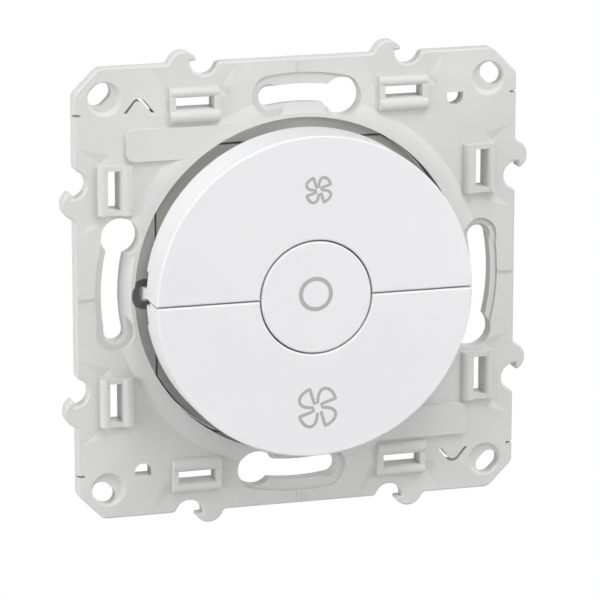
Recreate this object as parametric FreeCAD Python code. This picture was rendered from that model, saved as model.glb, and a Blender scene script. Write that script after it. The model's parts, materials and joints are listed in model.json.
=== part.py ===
import FreeCAD, Part
import math
import os

from FreeCAD import Vector

os.makedirs("parts", exist_ok=True)

# Wall-box fan speed control: a square moulded frame carries a round set of keys.
# X is to the right, Z is up and Y runs into the wall, all in millimetres.
# The wall meets the frame's back at Y = 0, so what stands in front has negative Y.

# Frame plate
frame_side = 71.0
corner_cut = 4.0
corner_round = 1.5
strip_thick = 2.2          # the plate at its edge
field_rise = 0.65          # the middle field stands this far in front of the edge
field_margin = 0.45        # from the frame's edge to the foot of the slope
field_inset = 7.7          # from the frame's edge to the crease where the field turns flat
edge_bevel = 0.28
recess_half = 7.2          # flat hollows in the slope, round the hooks
recess_inner_half = 4.2
recess_reach = 4.0
recess_ramp = 2.0

# Hooks and notches that join one frame to the next
hook_radius = 2.35
hook_rise = 1.95
notch_radius = 2.2
notch_depth = 1.9
hook_to_notch = 3.2
first_hook = -18.2
second_hook = 14.5
hook_undercut = 0.4
hook_root_round = 0.8
hook_tip_round = 0.34

# Clip slots between half-round ridges
clip_length = 6.1
clip_width = 1.8
clip_inset = 5.95          # from the frame's edge to the middle of the slot
clip_spacing = 33.4
inner_ridge = 1.05         # radius of the ridge towards the keys
outer_ridge = 0.75
ridge_overhang = 0.8
end_wall_rise = 0.6

# Curved keyhole slots for the fixing screws
fixing_land = 1.9          # wall between the opening and the slots
fixing_width = 3.1
fixing_entry_radius = 3.0
upright_entry_angle = 13.5
upright_end_angle = 8.9
side_entry_angle = 18.0
side_end_angle = 10.9
track_floor = 2.1          # shallow track on the outer side of the slots
upright_track = 1.8
side_track = 1.0
track_end_radius = 2.95
bevel_floor = 1.3          # bevel on the inner side of the slots
bevel_land = 0.6
bevel_stop = 4.5

# Slots in the corners
corner_slot_width = 3.0
corner_slot_length = 4.1
corner_slot_inset = 4.1    # from both edges to the middle of the slot
dish_radius = 3.2
dish_floor_radius = 2.2
dish_floor = 1.9
dish_shift = 0.5           # the dish lies inwards of the slot

# Small features of the field
tongue_inset_x = 10.1
tongue_inset_z = 4.1
tongue_half_span = 2.45
tongue_drop = 3.0
tongue_slit = 0.55
tongue_round = 1.2
window_inset_x = 10.25
window_inset_z = 6.6
window_width = 2.7
window_height = 2.05
pad_inset = 8.0            # from the frame's edge to the pad's outer end
pad_top_inset = 9.5
pad_height = 5.0
pad_rise = 0.6
pad_round = 1.2
mark_width = 0.35
mark_length = 2.4
mark_inset = 0.5
mark_rise = 0.4
tick_inset = 7.1
tick_length = 1.1
tick_height = 0.35

# Keys
key_radius = 25.2
key_depth = 7.4
key_face = 1.6
key_wall = 1.4
key_edge_round = 0.3
key_lift = 1.0             # from the collar's front to the rear rim of the keys
key_angle = 4.5
split_gap = 0.22
inner_wall = 1.2
inner_wall_depth = 2.4
rim_relief = 1.0           # the rear rim is shorter beside the hinges
rim_relief_half = 4.2
button_radius = 8.75
button_gap = 0.25
button_travel = 2.0

# Collar and ledge of the frame, round the keys
collar_gap = 1.35
collar_front = 3.6
collar_crest_front = 3.45
collar_land = 1.75
collar_foot = 1.3
collar_round = 4.0
ledge_front = 2.3
ledge_thick = 2.0
hinge_window_half = 2.45
hinge_window_reach = 0.5

# Hinges of the keys
hinge_forward = 1.9
pin_radius = 0.65
running_gap = 0.06
eye_radius = 1.15
lug_thick = 0.95
lug_gap = 0.3
lug_cap = 0.3              # closes the outer eye in front of the pin's end
lug_root_height = 1.7
lug_relief = 0.75
lug_relief_depth = 1.9
post_thick = 1.4
post_half = 2.0
post_rise = 1.2            # post in front of the pin's middle

# Housing
housing_fit = 0.3
housing_half = 22.7
cover_front = 2.4
cover_plate = 2.0
cover_wall = 1.4
cover_rear = 3.2
flange_margin = 1.4
flange_thick = 1.5
clip_hook_half = 2.0
clip_hook_thick = 1.2
clip_hook_reach = 0.8
clip_hook_rise = 1.0
clip_hook_gap = 0.05
base_depth = 20.8
base_wall = 2.0
base_floor = 1.5
base_edge = 1.2
tub_corner = 5.85          # the tub's plan is rounded off by this much at its corners
taper_start = 10.0         # the tub narrows from here to its rear
base_draft = 0.27
lip_fit = 0.1
lip_thick = 1.0
lip_height = 1.5

# Stop button stem and its guide
stem_radius = 2.6
guide_wall = 1.6
guide_height = 4.0
stem_flange = 0.7
stem_flange_thick = 1.2
stem_reach = 8.2           # tip of the stem behind the wall plane
wedge_slope = 0.5

# Plungers
drive_offset = 14.0
leg_half_width = 2.5
leg_thick = 1.6
leg_clear = 0.5            # from the leg's tip to the cover
drive_gap = 0.1
plunger_width = 5.0
plunger_height = 3.5
plunger_fit = 0.05
sleeve_wall = 1.2
sleeve_rear = 2.8
collar_thick = 1.0
collar_reach = 0.9
stem_pin_radius = 1.0
stem_pin_length = 4.0
bridge_seat = 9.0
seat_gap = 0.05

# Retaining hooks of the keys
retainer_offset_x = 10.0
retainer_offset_z = 16.0
retainer_width = 3.0
retainer_thick = 1.2
retainer_reach = 0.7
retainer_hook = 1.0
retainer_clear = 0.5       # on the inner side of the hooks and at their ends
retainer_play = 0.16       # on their outer side

# Latch plate
latch_thick = 0.8
latch_half_width = 5.5
latch_land = 1.95          # plate beyond the plungers' windows
latch_gap = 0.05
latch_room = 0.3
groove_depth = 0.8
groove_extra = 0.1
rail_width = 1.2

# Contacts
strip_metal = 0.8
bridge_metal = 0.5
bridge_overhang = 0.5      # fixed contact beyond the bridge's end
bridge_width = 4.0
contact_width = 3.5
contact_inset = 8.5        # from the terminal's plate to the contact
touch_gap = 0.1
tip_radius = 1.2
tip_height = 0.3
terminal_gap = 0.2         # from the tub's wall to the terminal's upright plate
terminal_side_gap = 0.825  # from the tub's wall to the wire clamp's edge
terminal_width = 7.0
terminal_floor_gap = 2.5
clamp_metal = 0.4
clamp_width = 6.0
clamp_back_inset = 7.2
clamp_bend_inset = 4.6
clamp_tip_gap = 0.3
clamp_tip_rise = 3.1
wire_radius = 1.5
wire_spacing = 4.0
wire_inset = 1.8
release_width = 2.6
release_height = 5.0
release_inset = 5.4
release_gap = 1.9          # from the clamp's bend to the lever's tip
release_proud = 0.6
release_fit = 0.08

# Springs
stop_wire = 0.6
stop_coil_radius = 5.6
stop_turns = 3
return_wire = 0.45
return_coil_radius = 1.9
return_turns = 3
latch_wire = 0.35
latch_coil_radius = 1.3
latch_turns = 3
latch_seat = 12.0          # bracket on the side wall
latch_seat_half = 1.7
spring_pad_height = 3.5
spring_pilot_radius = 1.3
spring_pad_radius = 2.8

# Places worked out from the sizes above
half_side = frame_side / 2
pad_high = half_side - pad_top_inset
pad_low = pad_high - pad_height
tick_offset = half_side - tick_inset
field_front = strip_thick + field_rise
opening_radius = key_radius + collar_gap
fixing_radius = opening_radius + fixing_land + fixing_width / 2
crest_radius = opening_radius + collar_land
foot_radius = crest_radius + collar_foot
key_rear = collar_front + key_lift
key_front = key_rear + key_depth
key_inside = key_front - key_face
lug_pitch = lug_thick + lug_gap
post_outer = key_radius - 2 * lug_pitch
post_inner = min(post_outer, housing_half) - post_thick
cover_radius = opening_radius - housing_fit
ledge_half = housing_half + housing_fit
ledge_back = ledge_front - ledge_thick
cover_back = cover_front - cover_plate
base_rear = cover_rear + base_depth
floor_front = base_rear - base_floor
spring_seat = floor_front - spring_pad_height
tub_radius = math.sqrt(2) * housing_half - tub_corner
terminal_rear = floor_front - terminal_floor_gap
terminal_inside = housing_half - base_wall - base_draft * (terminal_rear - taper_start)
floor_half = housing_half - base_wall - base_draft * (floor_front - taper_start)
terminal_plate = terminal_inside - strip_metal - terminal_gap
terminal_offset = floor_half - clamp_width / 2 - terminal_side_gap
wire_out = terminal_plate - wire_inset
release_out = terminal_plate - release_inset
clamp_back = terminal_plate - clamp_back_inset
clamp_bend = terminal_plate - clamp_bend_inset
contact_outer = terminal_plate - contact_inset
contact_inner = contact_outer - contact_width
bridge_half_length = contact_outer - bridge_overhang
drive_travel = drive_offset * math.radians(key_angle)
leg_tip = cover_front + leg_clear
plunger_front = leg_tip - drive_gap
latch_front = sleeve_rear + seat_gap + collar_thick + drive_travel + latch_gap
latch_half_length = drive_offset + plunger_height / 2 + latch_room + latch_land
bridge_rear = bridge_seat + bridge_metal
contact_front = bridge_rear + 2 * tip_height + drive_travel + touch_gap
contact_back = contact_front + strip_metal
clamp_bend_y = contact_back + 2 * clamp_metal
far = 2 * frame_side


def block(x, y, z):
    return Part.makeBox(x[1] - x[0], y[1] - y[0], z[1] - z[0], Vector(x[0], y[0], z[0]))


def disc(radius, start, end, x=0.0, z=0.0):
    return Part.makeCylinder(radius, end - start, Vector(x, start, z), Vector(0, 1, 0))


def rod(radius, start, end, y, z):
    return Part.makeCylinder(radius, end - start, Vector(start, y, z), Vector(1, 0, 0))


def cone(front_radius, front, rear_radius, rear, x, z):
    return Part.makeCone(front_radius, rear_radius, rear - front, Vector(x, front, z), Vector(0, 1, 0))


# The same shape a number of quarter turns on, clockwise as seen from the front.
def turned(shape, quarters):
    copy = shape.copy()
    copy.rotate(Vector(0, 0, 0), Vector(0, 1, 0), 90 * quarters)
    return copy


# A ring whose section is given by radius and Y, or its stretch between two angles clockwise from the top.
def revolved(section, first=0, last=360):
    points = [Vector(radius, y, 0) for radius, y in section]
    face = Part.Face(Part.makePolygon(points + points[:1]))
    face.rotate(Vector(0, 0, 0), Vector(0, 1, 0), first - 90)
    return face.revolve(Vector(0, 0, 0), Vector(0, 1, 0), last - first)


# A flat plate whose outline is given by X and Z.
def plate(outline, start, end):
    points = [Vector(x, start, z) for x, z in outline]
    face = Part.Face(Part.makePolygon(points + points[:1]))
    return face.extrude(Vector(0, end - start, 0))


# A plate whose outline is given by Y and Z, standing across X.
def side_plate(outline, start, end):
    points = [Vector(start, y, z) for y, z in outline]
    face = Part.Face(Part.makePolygon(points + points[:1]))
    return face.extrude(Vector(end - start, 0, 0))


# A square with its corners cut, as X and Z points.
def cut_square(half, cut):
    inner = half - cut
    quarter = [(-inner, half), (inner, half)]
    points = []
    for side in range(4):
        points += quarter
        quarter = [(z, -x) for x, z in quarter]
    return points


# The housing's plan: a square whose corners follow a circle.
def housing_plan(half, radius, start, end):
    return block((-half, half), (start, end), (-half, half)).common(disc(radius, start, end))


# The solid between two outlines in X and Z, each at its own Y.
def lofted(outlines):
    wires = []
    for outline, y in outlines:
        points = [Vector(x, y, z) for x, z in outline]
        wires.append(Part.makePolygon(points + points[:1]))
    return Part.makeLoft(wires, True, True)


# A strip of sheet metal folded along X and Y points, centred on z.
def folded(path, thick, z, width):
    left, right = [], []
    for index, (x, y) in enumerate(path):
        before = path[max(index - 1, 0)]
        after = path[min(index + 1, len(path) - 1)]
        first = unit((x - before[0], y - before[1])) if index else unit((after[0] - x, after[1] - y))
        last = unit((after[0] - x, after[1] - y)) if index < len(path) - 1 else first
        normal = unit((-(first[1] + last[1]), first[0] + last[0]))
        reach = thick / 2 / (normal[0] * -first[1] + normal[1] * first[0])
        left.append(Vector(x + normal[0] * reach, y + normal[1] * reach, z - width / 2))
        right.insert(0, Vector(x - normal[0] * reach, y - normal[1] * reach, z - width / 2))
    points = left + right
    face = Part.Face(Part.makePolygon(points + points[:1]))
    return face.extrude(Vector(0, 0, width))


def unit(step):
    length = math.hypot(step[0], step[1])
    return (step[0] / length, step[1] / length)


# A coil spring of square wire along +Z from the origin, resting on both end planes.
def coil(radius, wire, turns, length):
    rise = length - wire
    path = Part.Wire(Part.makeHelix(rise / turns, rise, radius))
    half = wire / 2
    square = ((-half, -half), (half, -half), (half, half), (-half, half))
    corners = [Vector(radius + x, 0, z) for x, z in square]
    section = Part.makePolygon(corners + corners[:1])
    spring = path.makePipeShell([section], True, True)
    spring.translate(Vector(0, 0, wire / 2))
    return spring


def coil_along_y(radius, wire, turns, start, end, z):
    spring = coil(radius, wire, turns, end - start - 2 * seat_gap)
    spring.rotate(Vector(0, 0, 0), Vector(1, 0, 0), -90)
    spring.translate(Vector(0, start + seat_gap, z))
    return spring


# Edges that run along Y at a place in X and Z.
def edges_along_y(shape, places):
    found = []
    for edge in shape.Edges:
        first, last = edge.Vertexes[0].Point, edge.Vertexes[-1].Point
        upright = abs(first.x - last.x) < 0.001 and abs(first.z - last.z) < 0.001
        if upright and any(math.hypot(first.x - x, first.z - z) < 0.01 for x, z in places):
            found.append(edge)
    return found


def edges_on_plane(shape, y):
    return [edge for edge in shape.Edges if all(abs(v.Point.y - y) < 0.001 for v in edge.Vertexes)
            and abs(edge.BoundBox.YLength) < 0.001]


# Half-chord of a circle at a height above its middle.
def half_chord(radius, height):
    return math.sqrt(radius ** 2 - height ** 2)


# The frame's plate: four like sides, each with two hooks that overhang their notches.
def frame_plate():
    edges = []
    roots, tips, ends, corners = [], [], [], []
    hook_middle = hook_rise - hook_radius
    hook_half = half_chord(hook_radius, hook_middle)
    tip_half = half_chord(hook_radius, hook_undercut - hook_middle)
    notch_middle = notch_radius - notch_depth
    notch_half = half_chord(notch_radius, notch_middle)
    bay_half = half_chord(notch_radius, hook_undercut - notch_middle)
    for side in range(4):
        def at(x, z):
            for turn in range(side):
                x, z = z, -x
            return (x, z)

        def point(x, z):
            place = at(x, z)
            return Vector(place[0], -strip_thick, place[1])

        here = point(-half_side + corner_cut, half_side)
        corners.append(at(-half_side + corner_cut, half_side))
        for hook in (first_hook, second_hook):
            notch = hook + hook_to_notch
            root = point(hook - hook_half, half_side)
            tip = point(hook + tip_half, half_side + hook_undercut)
            bay = point(notch - bay_half, half_side + hook_undercut)
            end = point(notch + notch_half, half_side)
            edges.append(Part.makeLine(here, root))
            edges.append(Part.Arc(root, point(hook, half_side + hook_rise), tip).toShape())
            edges.append(Part.makeLine(tip, bay))
            edges.append(Part.Arc(bay, point(notch, half_side - notch_depth), end).toShape())
            roots.append(at(hook - hook_half, half_side))
            tips.append(at(hook + tip_half, half_side + hook_undercut))
            ends.append(at(notch + notch_half, half_side))
            here = end
        corner = point(half_side - corner_cut, half_side)
        corners.append(at(half_side - corner_cut, half_side))
        edges.append(Part.makeLine(here, corner))
        edges.append(Part.makeLine(corner, point(half_side, half_side - corner_cut)))
    body = Part.Face(Part.Wire(edges)).extrude(Vector(0, strip_thick, 0))
    body = body.makeFillet(hook_root_round, edges_along_y(body, roots + ends))
    body = body.makeFillet(hook_tip_round, edges_along_y(body, tips))
    body = body.makeFillet(corner_round, edges_along_y(body, corners))
    return body.makeChamfer(edge_bevel, edges_on_plane(body, -strip_thick))


# The flat field and the slope that falls from it to the frame's edge, with hollows round the hooks.
def field():
    foot = cut_square(half_side - field_margin, corner_cut)
    crease = cut_square(half_side - field_inset, corner_cut)
    body = lofted([(foot, -strip_thick), (crease, -field_front)])
    hollows = [recess(-clip_spacing / 2), recess(clip_spacing / 2)]
    return body.cut([turned(hollow, quarter) for hollow in hollows for quarter in range(4)])


# A hollow on the frame's upper side, with a level floor and sides that slope up to past the field.
def recess(x):
    outlines = []
    for steps in (0, 2):
        grow = steps * recess_ramp
        outer, inner = recess_half + grow, recess_inner_half + grow
        low, high = half_side - recess_reach - grow, half_side + hook_rise
        outline = [(x - outer, high), (x - outer, half_side), (x - inner, low),
                   (x + inner, low), (x + outer, half_side), (x + outer, high)]
        outlines.append((outline, -strip_thick - steps * field_rise))
    return lofted(outlines)


# The collar rises to its crest and on, more gently, to the edge of the opening.
def collar():
    section = [(opening_radius, 0), (opening_radius, -collar_front), (crest_radius, -collar_crest_front),
               (foot_radius, -field_front), (foot_radius, 0)]
    body = revolved(section)
    return body.makeFillet(collar_round, edges_on_plane(body, -collar_crest_front))


def ledge():
    ring = disc(opening_radius + collar_land / 2, -ledge_front, -ledge_back)
    return ring.cut(block((-ledge_half, ledge_half), (-far, far), (-ledge_half, ledge_half)))


# Two ridges and two end walls round each clip slot, on the frame's upper side.
def clip_rims():
    middle = half_side - clip_inset
    shapes = []
    for x in (-clip_spacing / 2, clip_spacing / 2):
        reach = clip_length / 2 + ridge_overhang
        for side, radius in ((-1, inner_ridge), (1, outer_ridge)):
            z = middle + side * (clip_width / 2 + radius)
            bar = rod(radius, x - reach, x + reach, -field_front, z)
            foot = block((x - reach, x + reach), (-field_front, -strip_thick / 2), (z - radius, z + radius))
            shapes.append(bar.common(block((-far, far), (-far, -field_front), (-far, far))).fuse(foot))
            wall = x + side * (clip_length + ridge_overhang) / 2
            span = (wall - ridge_overhang / 2, wall + ridge_overhang / 2)
            rise = (-field_front - end_wall_rise, -strip_thick / 2)
            depth = clip_width / 2
            shapes.append(block(span, rise, (middle - depth - inner_ridge, middle + depth + outer_ridge)))
    return shapes


def clip_cuts():
    middle = half_side - clip_inset
    width = (middle - clip_width / 2, middle + clip_width / 2)
    half = clip_length / 2
    return [block((x - half, x + half), (-far, far), width) for x in (-clip_spacing / 2, clip_spacing / 2)]


# A slot with round ends along the fixing circle, angles clockwise from the top.
def arc_slot(inner, outer, first, last, start, end):
    def at(radius, angle):
        turn = math.radians(angle)
        return Vector(radius * math.sin(turn), start, radius * math.cos(turn))

    middle, half = (inner + outer) / 2, (outer - inner) / 2
    cap = math.degrees(half / middle)
    between = (first + last) / 2
    edges = [Part.Arc(at(outer, first), at(outer, between), at(outer, last)).toShape(),
             Part.Arc(at(outer, last), at(middle, last + cap), at(inner, last)).toShape(),
             Part.Arc(at(inner, last), at(inner, between), at(inner, first)).toShape(),
             Part.Arc(at(inner, first), at(middle, first - cap), at(outer, first)).toShape()]
    return Part.Face(Part.Wire(edges)).extrude(Vector(0, end - start, 0))


# A round cut on the fixing circle.
def fixing_disc(radius, angle, rear):
    turn = math.radians(angle)
    return disc(radius, -far, rear, fixing_radius * math.sin(turn), fixing_radius * math.cos(turn))


# A fixing slot with its round entry, the shallow track outside it and the bevel on its inner side.
def fixing_cuts(entry_angle, end_angle, margin):
    half = fixing_width / 2
    inner, outer = fixing_radius - half, fixing_radius + half
    slot = arc_slot(inner, outer, -end_angle, entry_angle, -far, far)
    slot = slot.fuse(fixing_disc(fixing_entry_radius, entry_angle, far))
    track = arc_slot(inner, outer + margin, -end_angle, entry_angle, -far, -track_floor)
    track = track.fuse(fixing_disc(track_end_radius, -end_angle, -track_floor))
    section = [(opening_radius + bevel_land, -collar_front), (inner, -bevel_floor),
               (fixing_radius, -bevel_floor), (fixing_radius, -collar_front)]
    bevel = revolved(section, -end_angle, entry_angle - bevel_stop)
    wide = fixing_radius - opening_radius - bevel_land
    turn = math.radians(-end_angle)
    place = (fixing_radius * math.sin(turn), fixing_radius * math.cos(turn))
    return [slot, track, bevel, cone(wide, -collar_front, half, -bevel_floor, *place)]


# The upper left corner slot, along the tangent, in its dish.
def corner_cuts():
    middle = half_side - corner_slot_inset
    half = corner_slot_width / 2
    run = (corner_slot_length - corner_slot_width) / 2 / math.sqrt(2)
    ends = [(-middle - run, middle - run), (-middle + run, middle + run)]
    side = half / math.sqrt(2)
    outline = [(ends[0][0] - side, ends[0][1] + side), (ends[1][0] - side, ends[1][1] + side),
               (ends[1][0] + side, ends[1][1] - side), (ends[0][0] + side, ends[0][1] - side)]
    slot = plate(outline, -far, far).fuse([disc(half, -far, far, x, z) for x, z in ends])
    place = middle - dish_shift
    dish = cone(dish_radius, -field_front, dish_floor_radius, -dish_floor, -place, place)
    return [slot, dish]


# The round-topped slit beside a spring tongue, upper left and lower right.
def tongue_slit_cut():
    x, z = -half_side + tongue_inset_x, half_side - tongue_inset_z
    low = z - tongue_drop
    span, slit = tongue_half_span, tongue_slit
    inner = z - slit * tongue_drop / span
    outline = [(x, z), (x + span, low), (x + span - slit, low), (x, inner),
               (x - span + slit, low), (x - span, low)]
    body = plate(outline, -far, far)
    body = body.makeFillet(tongue_round, edges_along_y(body, [(x, z)]))
    return body.makeFillet(tongue_round - slit / 2, edges_along_y(body, [(x, inner)]))


# A half-round window, flat side outwards, upper right and lower left.
def window_cut():
    x, z = half_side - window_inset_x, half_side - window_inset_z
    radius = window_width / 2
    low = z - window_height + radius
    lower = disc(radius, -far, far, x, low).common(block((-far, far), (-far, far), (-far, low)))
    return lower.fuse(block((x - radius, x + radius), (-far, far), (low, z)))


# A raised bare pad that runs from the corner into the collar, upper left and lower right.
def pad():
    outer = -half_side + pad_inset
    body = block((outer, 0), (-field_front - pad_rise, -strip_thick), (pad_low, pad_high))
    body = body.makeFillet(pad_round, edges_along_y(body, [(outer, pad_low), (outer, pad_high)]))
    return body.cut(disc(opening_radius, -far, far))


# Raised marks at the middle of each side.
def middle_marks():
    high = half_side - mark_inset
    rib = block((-mark_width / 2, mark_width / 2), (-strip_thick - mark_rise, -strip_thick / 2),
                (high - mark_length, high))
    return [turned(rib, quarter) for quarter in range(4)]


# Ticks near the corners, cut in the left and right edges.
def ticks():
    shapes = []
    for z in (-tick_offset, tick_offset):
        height = (z - tick_height / 2, z + tick_height / 2)
        deep = (-far, tick_length - strip_thick)
        shapes.append(block((-far, tick_length - half_side), deep, height))
        shapes.append(block((half_side - tick_length, far), deep, height))
    return shapes


# The round-ended openings, left and right, that the hinges turn in.
def hinge_windows(margin, start, end):
    radius = hinge_window_half - margin
    middle = opening_radius + hinge_window_reach - hinge_window_half
    inner = block((-middle, lug_gap - ledge_half), (start, end), (-radius, radius))
    left = disc(radius, start, end, -middle).fuse(inner)
    return [left, turned(left, 2)]


def support_frame():
    added = [field(), pad(), turned(pad(), 2)] + middle_marks()
    for quarter in range(4):
        added += [turned(rim, quarter) for rim in clip_rims()]
    body = frame_plate().fuse(added)
    body = body.cut(disc(opening_radius, -far, far)).fuse([collar(), ledge()])
    cuts = ticks() + hinge_windows(0, -far, far)
    upright = fixing_cuts(upright_entry_angle, upright_end_angle, upright_track)
    sideways = fixing_cuts(side_entry_angle, side_end_angle, side_track)
    for quarter in range(4):
        local = clip_cuts() + corner_cuts() + (sideways if quarter % 2 else upright)
        cuts += [turned(cut, quarter) for cut in local]
    for half_turn in (0, 2):
        cuts.append(turned(tongue_slit_cut(), half_turn))
        cuts.append(turned(window_cut(), half_turn))
    return body.cut(cuts).removeSplitter()


# One eye of a key's hinge: a round eye on a tapering arm that reaches back from the rim.
def hinge_eye(start, end, root):
    y = -hinge_forward
    root_y = -key_rear - rim_relief - root
    low = split_gap / 2
    arm = [(root_y, low), (root_y, lug_root_height), (-key_rear - rim_relief, lug_root_height),
           (y, eye_radius), (y, -eye_radius), (y - eye_radius, -eye_radius / 2),
           (-key_rear - rim_relief, low)]
    body = side_plate(arm, start, end).fuse(rod(eye_radius, start, end, y, 0))
    return body.common(disc(key_radius, -far, far))


# A half-disc key, upper one: the lower key is the same moulding turned half round.
def upper_key():
    low = split_gap / 2
    hole = button_radius + button_gap
    upper = block((-far, far), (-far, far), (low, far))
    body = disc(key_radius, -key_front, -key_rear).cut(disc(hole, -far, far)).common(upper)
    body = body.makeFillet(key_edge_round, edges_on_plane(body, -key_front))
    inside = disc(key_radius - key_wall, -key_inside, far)
    wall_rear = -key_inside + inner_wall_depth
    bay = inside.cut(disc(hole + inner_wall, -far, far))
    bay = bay.common(block((-far, far), (-far, far), (low + inner_wall, far)))
    body = body.cut([bay, disc(key_radius - key_wall, wall_rear, far)])
    relief = block((-far, far), (-key_rear - rim_relief, far), (0, rim_relief_half))
    body = body.cut(relief)
    notch_front = -key_rear - rim_relief - lug_relief_depth
    notch = block((key_radius - key_wall - lug_gap, far), (notch_front, far), (0, low + lug_relief))
    body = body.cut(notch)
    inner_end = key_radius - lug_pitch
    eyes = [hinge_eye(-key_radius, -key_radius + lug_thick, key_wall),
            hinge_eye(inner_end - lug_thick, inner_end, key_depth - rim_relief - key_face)]
    leg = block((-leg_half_width, leg_half_width), (-key_inside, -leg_tip),
                (drive_offset - leg_thick / 2, drive_offset + leg_thick / 2))
    body = body.fuse(eyes + [leg] + retainers())
    bore = rod(pin_radius + running_gap, lug_cap - key_radius, far, -hinge_forward, 0)
    return body.cut(bore).removeSplitter()


# Hooks that pass through the cover and hold the key against its return spring.
def retainers():
    shapes = []
    catch = -cover_back + seat_gap
    for side in (-1, 1):
        x = side * retainer_offset_x
        span = (x - retainer_width / 2, x + retainer_width / 2)
        z = retainer_offset_z
        shapes.append(block(span, (-key_inside, catch + retainer_hook), (z, z + retainer_thick)))
        shapes.append(block(span, (catch, catch + retainer_hook), (z, z + retainer_thick + retainer_reach)))
    return shapes


def lower_key():
    return turned(upper_key(), 2)


# The centre button: a shallow cap on a stem that ends in a wedge for the latch plate.
def stop_button():
    cap = disc(button_radius, -key_front, -key_inside + inner_wall_depth)
    cap = cap.makeFillet(key_edge_round, edges_on_plane(cap, -key_front))
    cap = cap.cut(disc(button_radius - inner_wall, -key_inside, far))
    stem = disc(stem_radius, -key_inside, stem_reach)
    catch = -cover_back + seat_gap
    flange = disc(stem_radius + stem_flange, catch, catch + stem_flange_thick)
    wedge_start = catch + stem_flange_thick
    fall = wedge_slope * (stem_reach - wedge_start)
    outline = [(stem_radius, wedge_start), (far, wedge_start), (far, stem_reach),
               (stem_radius - fall, stem_reach)]
    points = [Vector(x, y, -far / 2) for x, y in outline]
    wedge = Part.Face(Part.makePolygon(points + points[:1])).extrude(Vector(0, 0, far))
    return cap.fuse([stem, flange]).cut(wedge).removeSplitter()


# The cover: a plate with the hinge posts, the button's guide and the plungers' sleeves.
def housing_cover():
    body = housing_plan(housing_half, cover_radius, -cover_front, cover_rear)
    flange_rear = flange_thick - ledge_back
    body = body.fuse(housing_plan(ledge_half + flange_margin, cover_radius, -ledge_back, flange_rear))
    plugs = hinge_windows(seat_gap, seat_gap, flange_rear)
    body = body.fuse([disc(opening_radius - seat_gap, seat_gap, flange_rear)] + plugs)
    inner = housing_plan(housing_half - cover_wall, cover_radius - cover_wall, -cover_back, far)
    body = body.cut(inner)
    sleeve = [plunger_block(sleeve_wall, -cover_front, sleeve_rear, side) for side in (-1, 1)]
    guide = disc(stem_radius + guide_wall, -cover_front - guide_height, -cover_back)
    body = body.fuse(sleeve + [guide] + hinge_posts() + frame_hooks())
    holes = [plunger_block(plunger_fit, -far, far, side) for side in (-1, 1)]
    holes.append(disc(stem_radius + running_gap, -far, far))
    for slot in retainer_slots():
        holes += [slot, turned(slot, 2)]
    return body.cut(holes).removeSplitter()


def plunger_block(margin, start, end, side):
    wide, high = plunger_width / 2 + margin, plunger_height / 2 + margin
    z = side * drive_offset
    return block((-wide, wide), (start, end), (z - high, z + high))


def retainer_slots():
    low = retainer_offset_z - retainer_clear
    high = retainer_offset_z + retainer_thick + retainer_play
    half = retainer_width / 2 + retainer_clear
    spans = [(x - half, x + half) for x in (-retainer_offset_x, retainer_offset_x)]
    return [block(span, (-far, far), (low, high)) for span in spans]


def hinge_posts():
    shapes = []
    front = -hinge_forward - post_rise
    height = (-post_half, post_half)
    pin_end = key_radius - lug_cap - seat_gap
    shapes.append(block((post_inner, post_outer), (front, -cover_front), height))
    shapes.append(rod(pin_radius, post_inner, pin_end, -hinge_forward, 0))
    return shapes + [turned(shape, 2) for shape in shapes]


# Snap hooks, above and below, that hold the housing in front of the frame's ledge.
def frame_hooks():
    span = (-clip_hook_half, clip_hook_half)
    catch = -ledge_front - clip_hook_gap
    tip = catch - clip_hook_rise
    inner = housing_half - clip_hook_thick
    arm = block(span, (tip, -cover_front), (inner, housing_half))
    nose = block(span, (tip, catch), (inner, housing_half + clip_hook_reach))
    shapes = [arm, nose]
    return shapes + [turned(shape, 2) for shape in shapes]


# The tub's plan at full size in front, drawn in towards the rear; the inset is a wall's thickness.
def tub(inset, start, end):
    half, radius = housing_half - inset, tub_radius - inset
    rear_half = half - base_draft * (end - taper_start)
    tail = lofted([(cut_square(half, 0), taper_start), (cut_square(rear_half, 0), end)])
    return housing_plan(half, radius, start, taper_start).fuse(tail.common(disc(radius, start, end)))


# The rear tub with its floor, ribs, wire entries and openings for the release levers.
def housing_base():
    body = tub(0, cover_rear, base_rear)
    body = body.makeChamfer(base_edge, edges_on_plane(body, base_rear))
    body = body.cut(tub(base_wall, 0, floor_front))
    lip_half, lip_radius = housing_half - cover_wall - lip_fit, cover_radius - cover_wall - lip_fit
    lip = housing_plan(lip_half, lip_radius, cover_rear - lip_height, cover_rear + lip_height)
    lip = lip.cut(housing_plan(lip_half - lip_thick, lip_radius - lip_thick, -far, far))
    body = body.fuse([lip] + base_ribs())
    return body.cut(terminal_holes()).removeSplitter()


def base_ribs():
    rail_front = latch_front + latch_thick + latch_gap
    latch_middle = latch_front + latch_thick / 2
    height = (-latch_seat_half, latch_seat_half)
    depth = (latch_middle - latch_seat_half, latch_middle + latch_seat_half)
    shapes = [block((latch_seat, housing_half - base_wall / 2), depth, height)]
    root = base_rear - base_floor / 2
    for side in (-1, 1):
        z = side * drive_offset
        shapes.append(disc(spring_pad_radius, spring_seat, root, 0, z))
        shapes.append(disc(spring_pilot_radius, spring_seat - return_coil_radius, root, 0, z))
        height = (z - bridge_width / 2, z + bridge_width / 2)
        for span in ((-contact_outer, -contact_inner), (contact_inner, contact_outer)):
            shapes.append(block(span, (contact_back, root), height))
        rail = side * (latch_half_length - latch_land / 2)
        height = (rail - rail_width / 2, rail + rail_width / 2)
        shapes.append(block((-latch_half_width, latch_half_width), (rail_front, root), height))
    return shapes


# Terminal places: the side of the housing and the height of each.
terminals = {"live": (1, 0.0), "slow": (-1, terminal_offset), "fast": (-1, -terminal_offset)}


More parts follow.
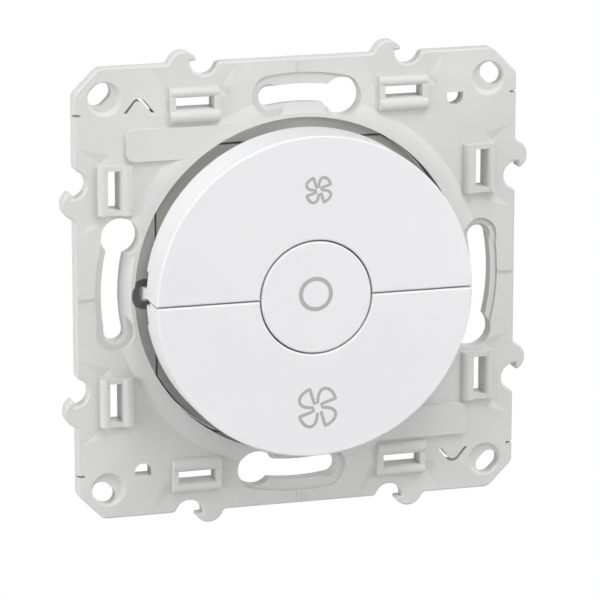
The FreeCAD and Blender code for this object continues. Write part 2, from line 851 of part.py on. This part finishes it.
def terminal_holes():
    shapes = []
    for side, z in terminals.values():
        for step in (-wire_spacing / 2, wire_spacing / 2):
            shapes.append(disc(wire_radius, floor_front - base_floor, far, side * wire_out, z + step))
        shapes.append(release_block(side, z, release_fit, floor_front - base_floor, far))
    return shapes


def release_block(side, z, margin, start, end):
    wide, high = release_width / 2 + margin, release_height / 2 + margin
    x = side * release_out
    return block((x - wide, x + wide), (start, end), (z - high, z + high))


def release_lever(side, z):
    lever = release_block(side, z, 0, clamp_bend_y + release_gap, base_rear + release_proud)
    return lever.makeChamfer(release_proud / 2, edges_on_plane(lever, base_rear + release_proud))


# A plunger: guided body, stop collar behind the cover, latch groove and a pin for the bridge.
def plunger(side):
    body = plunger_block(0, -plunger_front, bridge_seat, side)
    collar_front_y = sleeve_rear + seat_gap
    body = body.fuse(plunger_block(collar_reach, collar_front_y, collar_front_y + collar_thick, side))
    groove_front = latch_front - drive_travel - groove_extra
    groove_rear = latch_front + latch_thick - drive_travel + groove_extra
    half = plunger_width / 2
    body = body.cut(block((half - groove_depth, half), (groove_front, groove_rear), (-far, far)))
    pin_span = (bridge_seat - stem_pin_radius, bridge_seat + stem_pin_length)
    pin = disc(stem_pin_radius, *pin_span, 0, side * drive_offset)
    return body.fuse(pin).removeSplitter()


# A moving contact: a strip with a tip at each end, pierced for the plunger's pin.
def bridge(side):
    z = side * drive_offset
    half = bridge_half_length
    strip = block((-half, half), (bridge_seat, bridge_rear), (z - bridge_width / 2, z + bridge_width / 2))
    middle = (contact_inner + contact_outer) / 2
    tips = [disc(tip_radius, bridge_rear, bridge_rear + tip_height, x, z) for x in (-middle, middle)]
    hole = disc(stem_pin_radius + running_gap, -far, far, 0, z)
    return strip.fuse(tips).cut(hole).removeSplitter()


# The latch plate: windows for the plungers and for the button's wedge.
def latch_plate():
    rear = latch_front + latch_thick
    travel = wedge_slope * button_travel
    body = block((-latch_half_width, latch_half_width), (latch_front, rear),
                 (-latch_half_length, latch_half_length))
    wide, high = plunger_width / 2, plunger_height / 2 + latch_room
    for side in (-1, 1):
        z = side * drive_offset
        window = block((-wide - travel - latch_room, wide + latch_gap), (-far, far), (z - high, z + high))
        body = body.cut(window)
    wedge_start = -cover_back + seat_gap + stem_flange_thick
    wedge_at_plate = stem_radius - wedge_slope * (latch_front - wedge_start)
    reach = stem_radius + latch_room
    window = block((-reach - travel, wedge_at_plate + latch_gap), (-far, far), (-reach, reach))
    return body.cut(window)


# A fixed contact: a pad under the bridge, an arm to the side wall and the terminal's upright plate.
def fixed_contact(name):
    side, z = terminals[name]
    middle = contact_front + strip_metal / 2
    plate_x = terminal_plate + strip_metal / 2
    path = [(side * contact_inner, middle), (side * plate_x, middle), (side * plate_x, terminal_rear)]
    strip = folded(path, strip_metal, z, terminal_width if name == "live" else bridge_width)
    places = [-drive_offset, drive_offset] if name == "live" else [math.copysign(drive_offset, z)]
    tip_x = side * (contact_inner + contact_outer) / 2
    half = contact_width / 2
    low, high = min(places + [z]), max(places + [z])
    bar = block((tip_x - half, tip_x + half), (contact_front, contact_back),
                (low - bridge_width / 2, high + bridge_width / 2))
    tips = [disc(tip_radius, contact_front - tip_height, contact_front, tip_x, place) for place in places]
    return strip.fuse([bar] + tips).removeSplitter()


# A wire clamp: a back leg on the floor side, a bend and a tongue that leans on the plate.
def clamp(name):
    side, z = terminals[name]
    tongue = terminal_plate - clamp_tip_gap - clamp_metal
    path = [(side * clamp_back, floor_front - clamp_metal), (side * clamp_back, clamp_bend_y),
            (side * clamp_bend, clamp_bend_y), (side * tongue, terminal_rear - clamp_tip_rise)]
    return folded(path, clamp_metal, z, clamp_width)


def latch_spring():
    start = latch_half_width
    spring = coil(latch_coil_radius, latch_wire, latch_turns, latch_seat - start - 2 * seat_gap)
    spring.rotate(Vector(0, 0, 0), Vector(0, 1, 0), 90)
    spring.translate(Vector(start + seat_gap, latch_front + latch_thick / 2, 0))
    return spring


def main():
    nodes = {
        "support_frame": support_frame(),
        "housing_cover": housing_cover(),
        "housing_base": housing_base(),
        "upper_key": upper_key(),
        "lower_key": lower_key(),
        "stop_button": stop_button(),
        "latch_plate": latch_plate(),
        "latch_spring": latch_spring(),
        "stop_spring": coil_along_y(stop_coil_radius, stop_wire, stop_turns, -key_inside, -cover_front, 0),
    }
    for name, side in (("slow", 1), ("fast", -1)):
        nodes[name + "_plunger"] = plunger(side)
        nodes[name + "_bridge"] = bridge(side)
        nodes[name + "_spring"] = coil_along_y(return_coil_radius, return_wire, return_turns, bridge_rear,
                                               spring_seat, side * drive_offset)
    for name, (side, z) in terminals.items():
        nodes[name + "_contact"] = fixed_contact(name)
        nodes[name + "_clamp"] = clamp(name)
        nodes[name + "_release"] = release_lever(side, z)
    for name, shape in nodes.items():
        shape.exportStep("parts/" + name + ".step")
        print(name, "solids", len(shape.Solids), "valid", shape.isValid(), "volume", round(shape.Volume, 2))


main()
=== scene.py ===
import json
import math

import bpy
import numpy as np
from mathutils import Matrix, Vector

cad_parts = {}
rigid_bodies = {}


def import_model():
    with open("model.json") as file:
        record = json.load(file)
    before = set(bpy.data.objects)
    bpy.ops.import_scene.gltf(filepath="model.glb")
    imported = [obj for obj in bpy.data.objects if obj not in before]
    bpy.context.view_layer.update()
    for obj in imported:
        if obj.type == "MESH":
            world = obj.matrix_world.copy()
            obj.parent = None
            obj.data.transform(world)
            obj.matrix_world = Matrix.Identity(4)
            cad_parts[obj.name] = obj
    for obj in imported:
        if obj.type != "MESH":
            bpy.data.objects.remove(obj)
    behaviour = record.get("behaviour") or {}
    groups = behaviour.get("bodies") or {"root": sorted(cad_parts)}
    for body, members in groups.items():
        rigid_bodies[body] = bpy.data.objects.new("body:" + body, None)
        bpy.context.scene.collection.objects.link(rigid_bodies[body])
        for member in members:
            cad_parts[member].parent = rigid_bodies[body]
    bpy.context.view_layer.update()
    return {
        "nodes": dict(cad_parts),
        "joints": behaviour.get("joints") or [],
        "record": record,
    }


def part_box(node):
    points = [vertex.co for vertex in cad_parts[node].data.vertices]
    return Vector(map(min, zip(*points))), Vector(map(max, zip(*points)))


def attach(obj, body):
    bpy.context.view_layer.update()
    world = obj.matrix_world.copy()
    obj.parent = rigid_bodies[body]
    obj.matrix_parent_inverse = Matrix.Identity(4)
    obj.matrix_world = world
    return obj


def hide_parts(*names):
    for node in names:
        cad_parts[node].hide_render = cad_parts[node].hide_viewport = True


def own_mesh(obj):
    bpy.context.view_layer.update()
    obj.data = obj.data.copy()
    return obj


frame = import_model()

nodes = frame["nodes"]
scene = bpy.context.scene
mm = 0.001  # the frame is in metres


def addObject(name, data):
    thing = bpy.data.objects.new(name, data)
    scene.collection.objects.link(thing)
    return thing


def nodeMaterial(name):
    material = bpy.data.materials.new(name)
    material.use_nodes = True
    tree = material.node_tree
    return material, tree, tree.nodes["Principled BSDF"]


# view and light

cameraPlan = {
    "azimuth": -16.667,  # degrees round the part, 0 looks straight into the wall
    "elevation": 13.766,
    "distance": 0.65,
    "aim": (0.000248, -0.002265, -0.002686),
    "lens": 250.96,  # both in millimetres
    "sensor": 36.0,
    "near": 0.01,
    "far": 20.0,
}


# unit vectors to the viewer's right, up and back, from two angles
def viewAxes(azimuth, elevation):
    a, e = math.radians(azimuth), math.radians(elevation)
    back = Vector((math.sin(a) * math.cos(e), -math.cos(a) * math.cos(e), math.sin(e)))
    right = Vector((math.cos(a), math.sin(a), 0.0))
    return right, back.cross(right), back


# stands an object at a distance from a point and turns it to look at that point
def lookAt(thing, plan, point):
    axes = viewAxes(plan["azimuth"], plan["elevation"])
    place = Vector(point) + axes[2] * plan["distance"]
    thing.matrix_world = Matrix.Translation(place) @ Matrix(axes).transposed().to_4x4()


def placeCamera(plan):
    data = bpy.data.cameras.new("photoCamera")
    data.lens = plan["lens"]
    data.sensor_width = plan["sensor"]
    data.clip_start = plan["near"]
    data.clip_end = plan["far"]
    camera = addObject("photoCamera", data)
    lookAt(camera, plan, plan["aim"])
    scene.camera = camera
    print("camera placed, lens", plan["lens"])


# angles as for the camera, sizes in metres, power in watts
lampPlan = {
    "topBox": {"azimuth": 24.0, "elevation": 62.0, "distance": 0.7, "size": 0.32, "power": 2.05},
    "leftBox": {"azimuth": -30.0, "elevation": 50.0, "distance": 1.0, "size": 0.45, "power": 0.8},
    "sideFill": {"azimuth": 45.0, "elevation": 18.0, "distance": 1.0, "size": 0.6, "power": 2.65},
    "rimStrip": {"azimuth": -82.0, "elevation": 8.0, "distance": 1.0, "size": 0.6, "power": 5.4},
    "backBox": {"azimuth": 175.0, "elevation": 0.0, "distance": 1.0, "size": 0.6, "power": 4.0},
}


def placeLamps(plan):
    for name, lamp in plan.items():
        data = bpy.data.lights.new(name, "AREA")
        data.shape = "DISK"
        data.size = lamp["size"]
        data.energy = lamp["power"]
        lookAt(addObject(name, data), lamp, (0.0, 0.0, 0.0))
    print("lamps placed:", len(plan))


worldPlan = {
    "light": (1.0, 1.0, 1.0, 1.0),
    "towards": (-0.25, -0.85, 0.45),  # the brighter half of the sky, in front and above
    "rise": (-0.2, 0.8),  # cosines to that direction between which the sky brightens
    "front": 0.6,
    "behind": 0.07,
    "backdrop": (1.0, 1.0, 1.0, 1.0),
    "backdropStrength": 1.0,
}


# 1 for rays that the camera, mirrors and glass see, which get plain white, and 0 for the rest
def seenOrMirrored(tree):
    path = tree.nodes.new("ShaderNodeLightPath")
    total = tree.nodes.new("ShaderNodeMath")
    total.operation = "MAXIMUM"
    tree.links.new(path.outputs["Is Camera Ray"], total.inputs[0])
    tree.links.new(path.outputs["Is Glossy Ray"], total.inputs[1])
    both = tree.nodes.new("ShaderNodeMath")
    both.operation = "MAXIMUM"
    tree.links.new(total.outputs[0], both.inputs[0])
    tree.links.new(path.outputs["Is Transmission Ray"], both.inputs[1])
    return both.outputs[0]


# brightness of the sky: rises evenly from the direction behind the wall to the one in front
def domeStrength(tree, plan):
    where = tree.nodes.new("ShaderNodeTexCoord")
    facing = tree.nodes.new("ShaderNodeVectorMath")
    facing.operation = "DOT_PRODUCT"
    facing.inputs[1].default_value = Vector(plan["towards"]).normalized()
    tree.links.new(where.outputs["Generated"], facing.inputs[0])
    spread = tree.nodes.new("ShaderNodeMapRange")
    spread.inputs["From Min"].default_value, spread.inputs["From Max"].default_value = plan["rise"]
    spread.inputs["To Min"].default_value = plan["behind"]
    spread.inputs["To Max"].default_value = plan["front"]
    tree.links.new(facing.outputs["Value"], spread.inputs["Value"])
    return spread.outputs["Result"]


def makeWorld(plan):
    world = bpy.data.worlds.new("studio")
    scene.world = world
    world.use_nodes = True
    tree = world.node_tree
    tree.nodes.clear()
    lit = tree.nodes.new("ShaderNodeBackground")
    lit.inputs["Color"].default_value = plan["light"]
    tree.links.new(domeStrength(tree, plan), lit.inputs["Strength"])
    seen = tree.nodes.new("ShaderNodeBackground")
    seen.inputs["Color"].default_value = plan["backdrop"]
    seen.inputs["Strength"].default_value = plan["backdropStrength"]
    mix = tree.nodes.new("ShaderNodeMixShader")
    tree.links.new(seenOrMirrored(tree), mix.inputs[0])
    tree.links.new(lit.outputs[0], mix.inputs[1])
    tree.links.new(seen.outputs[0], mix.inputs[2])
    out = tree.nodes.new("ShaderNodeOutputWorld")
    tree.links.new(mix.outputs[0], out.inputs[0])
    print("world made")


floorPlan = {"size": 6.0, "level": -0.26, "colour": (0.70, 0.70, 0.70, 1.0), "rough": 0.9}


# one square about the origin, at a level below the part
def makeFloor(plan):
    half = plan["size"] / 2
    corners = np.array([(-half, -half), (half, -half), (half, half), (-half, half)])
    points = np.column_stack([corners, np.full(len(corners), plan["level"])])
    mesh = bpy.data.meshes.new("floor")
    mesh.from_pydata(points.tolist(), [], [(0, 1, 2, 3)])
    floor = addObject("floor", mesh)
    material, tree, matte = nodeMaterial("paleFloor")
    matte.inputs["Base Color"].default_value = plan["colour"]
    matte.inputs["Roughness"].default_value = plan["rough"]
    white = tree.nodes.new("ShaderNodeEmission")
    mix = tree.nodes.new("ShaderNodeMixShader")
    tree.links.new(seenOrMirrored(tree), mix.inputs[0])
    tree.links.new(matte.outputs[0], mix.inputs[1])
    tree.links.new(white.outputs[0], mix.inputs[2])
    tree.links.new(mix.outputs[0], tree.nodes["Material Output"].inputs["Surface"])
    mesh.materials.append(material)
    print("floor made")


# materials

# shift is the share by which the clouds change the colour, grain and cloud are waves for each millimetre
plasticPlan = {
    "framePlastic": {"colour": (0.645, 0.645, 0.634), "shift": 0.02, "rough": (0.50, 0.58), "bump": 0.05,
                     "grain": 9.0, "cloud": 0.09, "gloss": 0.2},
    "keyPlastic": {"colour": (0.80, 0.80, 0.812), "shift": 0.012, "rough": (0.40, 0.46), "bump": 0.02,
                   "grain": 7.0, "cloud": 0.06, "gloss": 0.25},
    "housingPlastic": {"colour": (0.58, 0.575, 0.535), "shift": 0.03, "rough": (0.50, 0.60), "bump": 0.06,
                       "grain": 6.0, "cloud": 0.12, "gloss": 0.2},
    "plungerPlastic": {"colour": (0.70, 0.70, 0.68), "shift": 0.02, "rough": (0.40, 0.48), "bump": 0.03,
                       "grain": 7.0, "cloud": 0.1, "gloss": 0.4},
    "leverPlastic": {"colour": (0.60, 0.60, 0.58), "shift": 0.02, "rough": (0.42, 0.52), "bump": 0.04,
                     "grain": 7.0, "cloud": 0.1, "gloss": 0.4},
    "symbolInk": {"colour": (0.42, 0.42, 0.415), "shift": 0.02, "rough": (0.45, 0.55), "bump": 0.02,
                  "grain": 12.0, "cloud": 0.3, "gloss": 0.3},
}
mouldPlan = {"cloudDetail": 3.0, "grainDetail": 2.0, "grainDepth": 0.02 * mm}
rampEnds = (0.3, 0.7)  # noise seldom leaves this band


def noiseNode(tree, vector, waves, detail):
    noise = tree.nodes.new("ShaderNodeTexNoise")
    noise.inputs["Scale"].default_value = waves / mm
    noise.inputs["Detail"].default_value = detail
    tree.links.new(vector, noise.inputs["Vector"])
    return noise.outputs["Fac"]


def rampNode(tree, source, low, high):
    ramp = tree.nodes.new("ShaderNodeValToRGB")
    for element, position, colour in zip(ramp.color_ramp.elements, rampEnds, (low, high)):
        element.position = position
        element.color = list(colour) + [1.0]
    tree.links.new(source, ramp.inputs["Fac"])
    return ramp.outputs["Color"]


def rangeNode(tree, source, low, high):
    spread = tree.nodes.new("ShaderNodeMapRange")
    spread.inputs["To Min"].default_value = low
    spread.inputs["To Max"].default_value = high
    tree.links.new(source, spread.inputs["Value"])
    return spread.outputs["Result"]


# moulded plastic: broad pale clouds in the colour, an uneven gloss and a fine spark-eroded grain
def mouldedPlastic(name, plan):
    material, tree, shader = nodeMaterial(name)
    where = tree.nodes.new("ShaderNodeTexCoord").outputs["Object"]
    cloud = noiseNode(tree, where, plan["cloud"], mouldPlan["cloudDetail"])
    dark = [value * (1 - plan["shift"]) for value in plan["colour"]]
    pale = [value * (1 + plan["shift"]) for value in plan["colour"]]
    tree.links.new(rampNode(tree, cloud, dark, pale), shader.inputs["Base Color"])
    tree.links.new(rangeNode(tree, cloud, *plan["rough"]), shader.inputs["Roughness"])
    bump = tree.nodes.new("ShaderNodeBump")
    bump.inputs["Strength"].default_value = plan["bump"]
    bump.inputs["Distance"].default_value = mouldPlan["grainDepth"]
    grain = noiseNode(tree, where, plan["grain"], mouldPlan["grainDetail"])
    tree.links.new(grain, bump.inputs["Height"])
    tree.links.new(bump.outputs["Normal"], shader.inputs["Normal"])
    shader.inputs["Specular IOR Level"].default_value = plan["gloss"]
    return material


metalPlan = {
    "contactBrass": {"colour": (0.72, 0.54, 0.24), "dull": (0.52, 0.37, 0.16), "rough": (0.22, 0.42),
                     "lines": 14.0},
    "springSteel": {"colour": (0.62, 0.62, 0.63), "dull": (0.46, 0.46, 0.47), "rough": (0.20, 0.38),
                    "lines": 18.0},
}
rollPlan = {"stretch": (1.0, 0.06, 0.06), "detail": 3.0}


# rolled strip: streaks across one axis, from noise stretched by a Mapping node
def rolledMetal(name, plan):
    material, tree, shader = nodeMaterial(name)
    where = tree.nodes.new("ShaderNodeTexCoord")
    stretch = tree.nodes.new("ShaderNodeMapping")
    stretch.inputs["Scale"].default_value = rollPlan["stretch"]
    tree.links.new(where.outputs["Object"], stretch.inputs["Vector"])
    streak = noiseNode(tree, stretch.outputs["Vector"], plan["lines"], rollPlan["detail"])
    tree.links.new(rampNode(tree, streak, plan["dull"], plan["colour"]), shader.inputs["Base Color"])
    tree.links.new(rangeNode(tree, streak, *plan["rough"]), shader.inputs["Roughness"])
    shader.inputs["Metallic"].default_value = 1.0
    return material


finishes = {name: mouldedPlastic(name, plan) for name, plan in plasticPlan.items()}
finishes.update({name: rolledMetal(name, plan) for name, plan in metalPlan.items()})
print("finishes made:", len(finishes))

slotFinish = {
    "frame_plastic": "framePlastic",
    "key_plastic": "keyPlastic",
    "housing_plastic": "housingPlastic",
    "plunger_plastic": "plungerPlastic",
    "lever_plastic": "leverPlastic",
    "contact_brass": "contactBrass",
    "spring_steel": "springSteel",
}


def dressNodes():
    for part in frame["record"]["subparts"]:
        mesh = nodes[part["node"]].data
        mesh.materials.clear()
        mesh.materials.append(finishes[slotFinish[part["material_slot"]]])


# springs and printed signs

# the skin of a bar: each row of corners is joined to the next, and an open bar is closed at both ends
def sweptMesh(name, rows, closed):
    count, sides = rows.shape[:2]
    spans = count if closed else count - 1
    first = np.arange(spans)[:, None] * sides
    after = (np.arange(1, spans + 1) % count)[:, None] * sides
    corner = np.arange(sides)
    beside = (corner + 1) % sides
    quads = np.stack([first + corner, first + beside, after + beside, after + corner], axis=-1)
    faces = quads.reshape(-1, 4).tolist()
    if not closed:
        last = (count - 1) * sides
        faces += [corner[::-1].tolist(), (last + corner).tolist()]
    mesh = bpy.data.meshes.new(name)
    mesh.from_pydata(rows.reshape(-1, 3).tolist(), [], faces)
    mesh.update()
    return mesh


# steps are for each turn
coilPlan = {
    "stopCoil": {"node": "stop_spring", "radius": 5.6 * mm, "wire": 0.6 * mm, "turns": 3, "steps": 48},
    "slowCoil": {"node": "slow_spring", "radius": 1.9 * mm, "wire": 0.45 * mm, "turns": 3, "steps": 32},
    "fastCoil": {"node": "fast_spring", "radius": 1.9 * mm, "wire": 0.45 * mm, "turns": 3, "steps": 32},
    "latchCoil": {"node": "latch_spring", "radius": 1.3 * mm, "wire": 0.35 * mm, "turns": 3, "steps": 32},
}
crispEdge = math.radians(40.0)  # the wire's own edges stay sharp, its bend is smooth


# a square wire on a helix: angle and height grow evenly from end to end,
# then the height changes places with the given axis
def coilRows(plan, axis):
    low, high = (np.array(corner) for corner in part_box(plan["node"]))
    half = plan["wire"] / 2
    outCorner = np.array([-half, -half, half, half])
    upCorner = np.array([-half, half, half, -half])
    share = np.linspace(0, 1, plan["turns"] * plan["steps"] + 1)[:, None]
    turn = 2 * math.pi * plan["turns"] * share
    out = plan["radius"] + outCorner
    height = half + (high[axis] - low[axis] - plan["wire"]) * share + upCorner
    rows = np.stack([out * np.cos(turn), out * np.sin(turn), height], axis=-1)
    rows[..., [axis, 2]] = rows[..., [2, axis]]
    rows[..., 2] *= -1
    start = (low + high) / 2
    start[axis] = low[axis]
    return rows + start


# each coil stands in for its rigid node, which it hides, and is attached to the parent body of the joint
# that deforms that node, its axis taken from the last letter of the node's deforming mode
def placeCoil(name, plan):
    joint, fixed = next((joint, fixed) for joint in frame["joints"]
                        for fixed in joint.get("deforming_nodes", []) if fixed["node"] == plan["node"])
    letter = fixed["mode"][-1]
    axis = "xyz".index(letter)
    mesh = sweptMesh(name, coilRows(plan, axis), False)
    mesh.shade_smooth()
    mesh.set_sharp_from_angle(angle=crispEdge)
    mesh.materials.append(finishes["springSteel"])
    spring = addObject(name, mesh)
    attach(spring, joint["parent"])
    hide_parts(plan["node"])
    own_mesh(spring)
    print("coil placed:", name, "shortens with", joint["name"])


# a flat band: a rectangle of the stroke's width and the print's depth carried along a path in X and Z
def bandMesh(name, path, width, front, back, closed):
    step = np.gradient(path, axis=0)
    if closed:
        step = np.roll(path, -1, axis=0) - np.roll(path, 1, axis=0)
    side = np.column_stack([-step[:, 1], step[:, 0]])
    side *= width / 2 / np.linalg.norm(side, axis=1, keepdims=True)
    left, right = path + side, path - side

    def edge(points, depth):
        return np.column_stack([points[:, 0], np.full(len(points), depth), points[:, 1]])

    rows = np.stack([edge(left, front), edge(right, front), edge(right, back), edge(left, back)], axis=1)
    return sweptMesh(name, rows, closed)


printPlan = {"proud": 0.012 * mm, "sunk": 0.02 * mm}


# the button's face lies in one plane with the keys' faces, so all signs start from the upper key's
def placeSign(name, path, width, closed, body):
    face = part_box("upper_key")[0].y
    mesh = bandMesh(name, path, width, face - printPlan["proud"], face + printPlan["sunk"], closed)
    mesh.materials.append(finishes["symbolInk"])
    sign = addObject(name, mesh)
    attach(sign, body)
    print("sign placed:", name, "points", len(path))


ringPlan = {"middle": (-0.12 * mm, 0.56 * mm), "radius": 2.39 * mm, "stroke": 0.65 * mm, "steps": 96}


# a circle about its middle
def ringPath(plan):
    turn = np.linspace(0, 2 * math.pi, plan["steps"], endpoint=False)
    return np.array(plan["middle"]) + plan["radius"] * np.column_stack([np.cos(turn), np.sin(turn)])


fanPlan = {
    "smallFan": {"middle": (0.31 * mm, 16.8 * mm), "size": (3.83 * mm, 3.85 * mm), "stroke": 0.46 * mm,
                 "body": "upper_key"},
    "largeFan": {"middle": (0.16 * mm, -17.45 * mm), "size": (5.84 * mm, 5.98 * mm), "stroke": 0.5 * mm,
                 "body": "lower_key"},
}
bladePlan = {
    "turn": 23.0,  # degrees from +X to the first straight edge
    "quarters": (3, 0, 1, 2),  # quarter turns of the four blades, in the order that the line takes
    "hubStart": (0.25, 0.08),  # in blade lengths, along and across the straight edge
    "tip": (1.0, 0.0),
    "bulge": ((1.05, 0.75), (0.45, 1.05)),  # handles of the curved back edge
    "hubEnd": (0.114, 0.234),
    "edgeSteps": 7,
    "curveSteps": 22,
}


# one line round four blades: a straight edge out to each tip, a curved back edge, a short link to the next
def fanPath(plan, blade):
    t = np.linspace(0, 1, blade["curveSteps"])[:, None]
    start, tip, end = (np.array(blade[key]) for key in ("hubStart", "tip", "hubEnd"))
    one, two = (np.array(handle) for handle in blade["bulge"])
    straight = start + (tip - start) * np.linspace(0, 1, blade["edgeSteps"], endpoint=False)[:, None]
    curve = tip * (1 - t) ** 3 + 3 * one * t * (1 - t) ** 2 + 3 * two * t ** 2 * (1 - t) + end * t ** 3
    outline = np.vstack([straight, curve])
    turns = np.radians(blade["turn"] + 90.0 * np.array(blade["quarters"]))
    spin = np.stack([np.column_stack([np.cos(turns), -np.sin(turns)]),
                     np.column_stack([np.sin(turns), np.cos(turns)])], axis=1)
    path = np.einsum("kij,nj->kni", spin, outline).reshape(-1, 2)
    path -= (path.max(axis=0) + path.min(axis=0)) / 2
    path *= np.array(plan["size"]) / (path.max(axis=0) - path.min(axis=0))
    return np.array(plan["middle"]) + path


placeCamera(cameraPlan)
placeLamps(lampPlan)
makeWorld(worldPlan)
makeFloor(floorPlan)
dressNodes()
for coilName, plan in coilPlan.items():
    placeCoil(coilName, plan)
placeSign("ringSign", ringPath(ringPlan), ringPlan["stroke"], True, "stop_button")
for fanName, plan in fanPlan.items():
    placeSign(fanName, fanPath(plan, bladePlan), plan["stroke"], False, plan["body"])

scene.view_settings.view_transform = "Standard"
